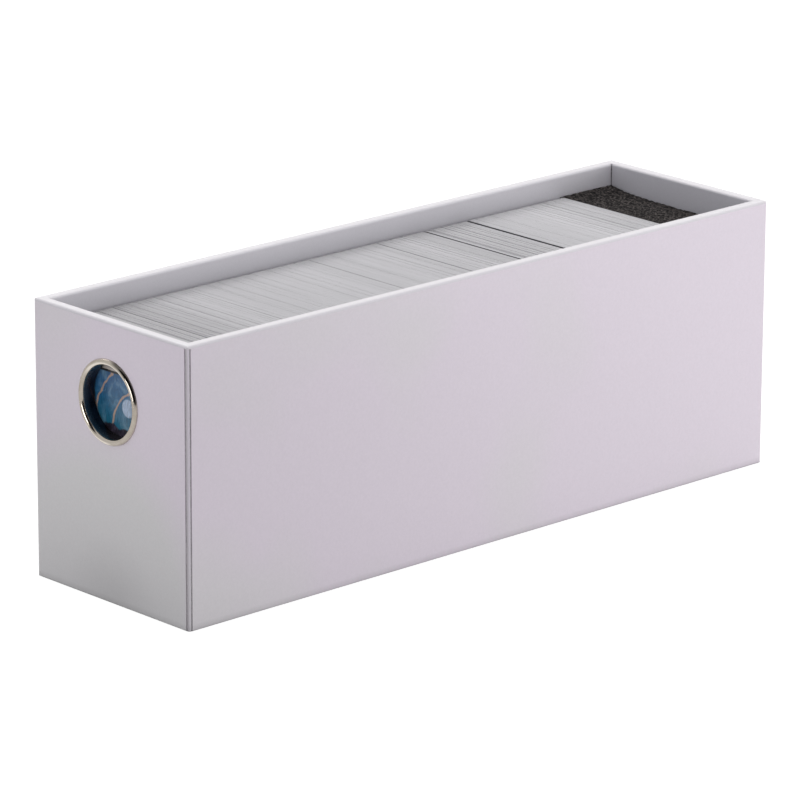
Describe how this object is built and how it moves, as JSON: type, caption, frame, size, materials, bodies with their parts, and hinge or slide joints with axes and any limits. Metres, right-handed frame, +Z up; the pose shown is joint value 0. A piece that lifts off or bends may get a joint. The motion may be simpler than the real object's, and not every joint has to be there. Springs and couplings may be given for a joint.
{
  "type": "trading card drawer",
  "caption": "Long open-topped drawer of paper-wrapped grey board with a metal finger ring in its front, holding upright packs of trading cards and a foam block that all lift out.",
  "frame": {"origin": "under the middle of the base, on the surface that the drawer stands on", "axes": "+Y from the front with the finger ring to the back, +X to the right as seen from the front, +Z up"},
  "size_m": [0.08, 0.2807, 0.1005],
  "materials": {
    "grey_board": "matte",
    "cover_paper": "satin",
    "lining_paper": "matte",
    "edging_paper": "satin",
    "ring_metal": "polished",
    "washer_metal": "satin",
    "printed_card": "gloss",
    "card_stock": "satin",
    "foam": "matte"
  },
  "bodies": {
    "tray": {"base_board": "grey_board", "front_board": "grey_board", "back_board": "grey_board", "left_board": "grey_board", "right_board": "grey_board", "base_cover": "cover_paper", "front_cover": "cover_paper", "back_cover": "cover_paper", "left_cover": "cover_paper", "right_cover": "cover_paper", "floor_lining": "lining_paper", "front_lining": "lining_paper", "back_lining": "lining_paper", "left_lining": "lining_paper", "right_lining": "lining_paper", "seam_edging": "edging_paper", "pull_ring": "ring_metal", "ring_washer": "washer_metal"},
    "pack_1": {"face_card": "printed_card", "card_pack_1": "card_stock"},
    "pack_2": {"card_pack_2": "card_stock"},
    "pack_3": {"card_pack_3": "card_stock"},
    "pack_4": {"card_pack_4": "card_stock"},
    "pack_5": {"card_pack_5": "card_stock"},
    "pack_6": {"card_pack_6": "card_stock"},
    "pack_7": {"card_pack_7": "card_stock"},
    "pack_8": {"card_pack_8": "card_stock"},
    "pack_9": {"card_pack_9": "card_stock"},
    "pack_10": {"card_pack_10": "card_stock"},
    "foam": {"foam_block": "foam"}
  },
  "joints": [
    {"name": "pack_1_lift", "type": "slide", "parent": "tray", "child": "pack_1", "axis": [0, 0, 1], "range_m": [0, 0.105]},
    {"name": "pack_2_lift", "type": "slide", "parent": "tray", "child": "pack_2", "axis": [0, 0, 1], "range_m": [0, 0.105]},
    {"name": "pack_3_lift", "type": "slide", "parent": "tray", "child": "pack_3", "axis": [0, 0, 1], "range_m": [0, 0.105]},
    {"name": "pack_4_lift", "type": "slide", "parent": "tray", "child": "pack_4", "axis": [0, 0, 1], "range_m": [0, 0.105]},
    {"name": "pack_5_lift", "type": "slide", "parent": "tray", "child": "pack_5", "axis": [0, 0, 1], "range_m": [0, 0.105]},
    {"name": "pack_6_lift", "type": "slide", "parent": "tray", "child": "pack_6", "axis": [0, 0, 1], "range_m": [0, 0.105]},
    {"name": "pack_7_lift", "type": "slide", "parent": "tray", "child": "pack_7", "axis": [0, 0, 1], "range_m": [0, 0.105]},
    {"name": "pack_8_lift", "type": "slide", "parent": "tray", "child": "pack_8", "axis": [0, 0, 1], "range_m": [0, 0.105]},
    {"name": "pack_9_lift", "type": "slide", "parent": "tray", "child": "pack_9", "axis": [0, 0, 1], "range_m": [0, 0.105]},
    {"name": "pack_10_lift", "type": "slide", "parent": "tray", "child": "pack_10", "axis": [0, 0, 1], "range_m": [0, 0.105]},
    {"name": "foam_lift", "type": "slide", "parent": "tray", "child": "foam", "axis": [0, 0, 1], "range_m": [0, 0.105]}
  ]
}
